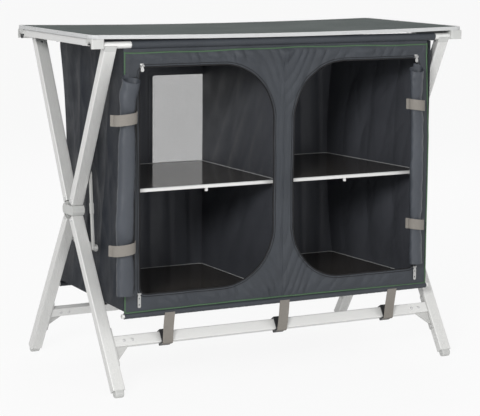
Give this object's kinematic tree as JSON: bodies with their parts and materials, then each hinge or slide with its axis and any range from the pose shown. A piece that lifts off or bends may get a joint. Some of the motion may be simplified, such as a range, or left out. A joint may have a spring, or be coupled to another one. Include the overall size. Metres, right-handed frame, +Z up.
{
  "type": "folding camping cupboard",
  "caption": "Free-standing folding cupboard with a lift-off worktop, hinged tube legs and a fabric cabinet with loose shelves behind rolled doors.",
  "frame": {"origin": "on the floor, midway between the four feet", "axes": "+X to the right seen from the front, +Y to the back, +Z up"},
  "size_m": [1, 0.5234, 0.82],
  "materials": {
    "leg_aluminium": "satin anodised, fine grooves",
    "tube_aluminium": "satin",
    "grey_moulding": "satin moulded",
    "fastener_steel": "zinc plated",
    "plate_steel": "silver paint",
    "black_moulding": "matt",
    "worktop_laminate": "grey-green laminate on board",
    "trim_plastic": "satin",
    "taupe_webbing": "woven webbing",
    "mesh_fabric": "open mesh",
    "shelf_board": "near-black gloss laminate on board, white edging",
    "puller_metal": "satin",
    "dark_fabric": "coated woven polyester"
  },
  "bodies": {
    "hubs": {"hub_blocks": "grey_moulding", "hub_rivets": "fastener_steel"},
    "upper_front": {"upper_front_leg_left": "leg_aluminium", "upper_front_leg_right": "leg_aluminium", "front_leg_heads": "grey_moulding", "front_head_screws": "fastener_steel", "front_top_tube": "tube_aluminium", "front_tube_caps": "black_moulding", "front_top_sleeve": "dark_fabric"},
    "lower_front": {"lower_front_leg_left": "leg_aluminium", "lower_front_leg_right": "leg_aluminium", "front_feet": "grey_moulding", "front_bottom_bar": "tube_aluminium", "front_bar_brackets": "plate_steel", "front_bar_screws": "fastener_steel", "front_strap_hooks": "black_moulding", "front_tie_straps": "taupe_webbing"},
    "upper_rear": {"upper_rear_leg_left": "leg_aluminium", "upper_rear_leg_right": "leg_aluminium", "rear_leg_heads": "grey_moulding", "rear_head_screws": "fastener_steel", "rear_top_tube": "tube_aluminium", "rear_tube_caps": "black_moulding", "rear_top_sleeve": "dark_fabric"},
    "lower_rear": {"lower_rear_leg_left": "leg_aluminium", "lower_rear_leg_right": "leg_aluminium", "rear_feet": "grey_moulding", "rear_bottom_bar": "tube_aluminium", "rear_bar_brackets": "plate_steel", "rear_bar_screws": "fastener_steel", "rear_strap_hooks": "black_moulding", "rear_tie_straps": "taupe_webbing", "rear_stay_studs": "fastener_steel"},
    "worktop": {"worktop_panel": "worktop_laminate", "worktop_edge_trim": "trim_plastic", "side_rails": "tube_aluminium", "rail_screws": "fastener_steel", "rail_connectors": "grey_moulding"},
    "cabinet": {"side_walls": "dark_fabric", "divider_wall": "dark_fabric", "cabinet_base": "dark_fabric", "shelf_cloths": "dark_fabric"},
    "front_face": {"front_hem_tube": "tube_aluminium", "front_panel": "dark_fabric", "rolled_door_left": "dark_fabric", "rolled_door_right": "dark_fabric", "roll_straps": "dark_fabric"},
    "rear_face": {"rear_hem_tube": "tube_aluminium", "back_panel": "dark_fabric", "mesh_window": "mesh_fabric"},
    "shelves": {"mid_shelves": "shelf_board", "bottom_shelves": "shelf_board"},
    "stay_link_left": {"stay_link_left": "plate_steel"},
    "stay_arm_left": {"stay_arm_left": "plate_steel"},
    "stay_link_right": {"stay_link_right": "plate_steel"},
    "stay_arm_right": {"stay_arm_right": "plate_steel"},
    "puller_lower_left": {"zip_puller_lower_left": "puller_metal"},
    "puller_lower_right": {"zip_puller_lower_right": "puller_metal"},
    "puller_upper_left": {"zip_puller_upper_left": "puller_metal"},
    "puller_upper_right": {"zip_puller_upper_right": "puller_metal"}
  },
  "joints": [
    {"name": "frame_fold", "type": "hinge", "parent": "hubs", "child": "lower_front", "pos_m": [0, -0.018, 0.375], "axis": [1, 0, 0], "range_deg": [0, 32.59], "deforming": ["side_walls", "divider_wall", "cabinet_base", "shelf_cloths", "front_panel", "rolled_door_left", "rolled_door_right", "roll_straps", "back_panel", "mesh_window", "front_tie_straps", "rear_tie_straps"]},
    {"name": "lower_rear_fold", "type": "hinge", "parent": "hubs", "child": "lower_rear", "pos_m": [0, 0.018, 0.375], "axis": [-1, 0, 0], "range_deg": [0, 32.59]},
    {"name": "upper_front_fold", "type": "hinge", "parent": "hubs", "child": "upper_front", "pos_m": [0, -0.018, 0.419], "axis": [-1, 0, 0], "range_deg": [0, 26.75]},
    {"name": "upper_rear_fold", "type": "hinge", "parent": "hubs", "child": "upper_rear", "pos_m": [0, 0.018, 0.419], "axis": [1, 0, 0], "range_deg": [0, 26.75]},
    {"name": "worktop_lift", "type": "slide", "parent": "hubs", "child": "worktop", "axis": [0, 0, 1], "range_m": [0, 0.56]},
    {"name": "cabinet_rise", "type": "slide", "parent": "hubs", "child": "cabinet", "axis": [0, 0, 1], "range_m": [0, 0.04517]},
    {"name": "front_face_close", "type": "slide", "parent": "hubs", "child": "front_face", "axis": [0, 0.9729, 0.2313], "range_m": [0, 0.1953]},
    {"name": "rear_face_close", "type": "slide", "parent": "hubs", "child": "rear_face", "axis": [0, -0.9729, 0.2313], "range_m": [0, 0.1953]},
    {"name": "shelf_removal", "type": "slide", "parent": "hubs", "child": "shelves", "axis": [0, -0.8137, 0.5812], "range_m": [0, 0.86]},
    {"name": "stay_link_left_swing", "type": "hinge", "parent": "upper_front", "child": "stay_link_left", "pos_m": [-0.4285, -0.05378, 0.49], "axis": [1, 0, 0], "range_deg": [0, 26.75]},
    {"name": "stay_arm_left_swing", "type": "hinge", "parent": "stay_link_left", "child": "stay_arm_left", "pos_m": [-0.4215, -0.069, 0.313], "axis": [1, 0, 0], "range_deg": [0, 88]},
    {"name": "stay_link_right_swing", "type": "hinge", "parent": "upper_front", "child": "stay_link_right", "pos_m": [0.4285, -0.05378, 0.49], "axis": [1, 0, 0], "range_deg": [0, 26.75]},
    {"name": "stay_arm_right_swing", "type": "hinge", "parent": "stay_link_right", "child": "stay_arm_right", "pos_m": [0.4215, -0.069, 0.313], "axis": [1, 0, 0], "range_deg": [0, 88]},
    {"name": "zip_puller_lower_left_swing", "type": "hinge", "parent": "front_face", "child": "puller_lower_left", "pos_m": [-0.378, -0.2137, 0.226], "axis": [-1, 0, 0], "range_deg": [0, 100]},
    {"name": "zip_puller_lower_right_swing", "type": "hinge", "parent": "front_face", "child": "puller_lower_right", "pos_m": [0.378, -0.2137, 0.226], "axis": [-1, 0, 0], "range_deg": [0, 100]},
    {"name": "zip_puller_upper_left_swing", "type": "hinge", "parent": "front_face", "child": "puller_upper_left", "pos_m": [-0.37, -0.2137, 0.748], "axis": [-1, 0, 0], "range_deg": [0, 100]},
    {"name": "zip_puller_upper_right_swing", "type": "hinge", "parent": "front_face", "child": "puller_upper_right", "pos_m": [0.37, -0.2137, 0.748], "axis": [-1, 0, 0], "range_deg": [0, 100]}
  ],
  "couplings": [
    {"joint": "lower_rear_fold", "follows": "frame_fold", "ratio": 1},
    {"joint": "upper_front_fold", "follows": "frame_fold", "ratio": 0.82065},
    {"joint": "upper_rear_fold", "follows": "frame_fold", "ratio": 0.82065},
    {"joint": "worktop_lift", "follows": "frame_fold", "m_per_rad": 0.98445},
    {"joint": "cabinet_rise", "follows": "frame_fold", "m_per_rad": 0.079409},
    {"joint": "front_face_close", "follows": "frame_fold", "m_per_rad": 0.34332},
    {"joint": "rear_face_close", "follows": "frame_fold", "m_per_rad": 0.34332},
    {"joint": "shelf_removal", "follows": "frame_fold", "m_per_rad": 1.5118},
    {"joint": "stay_link_left_swing", "follows": "frame_fold", "ratio": 0.82065},
    {"joint": "stay_arm_left_swing", "follows": "frame_fold", "ratio": 2.7},
    {"joint": "stay_link_right_swing", "follows": "frame_fold", "ratio": 0.82065},
    {"joint": "stay_arm_right_swing", "follows": "frame_fold", "ratio": 2.7}
  ]
}
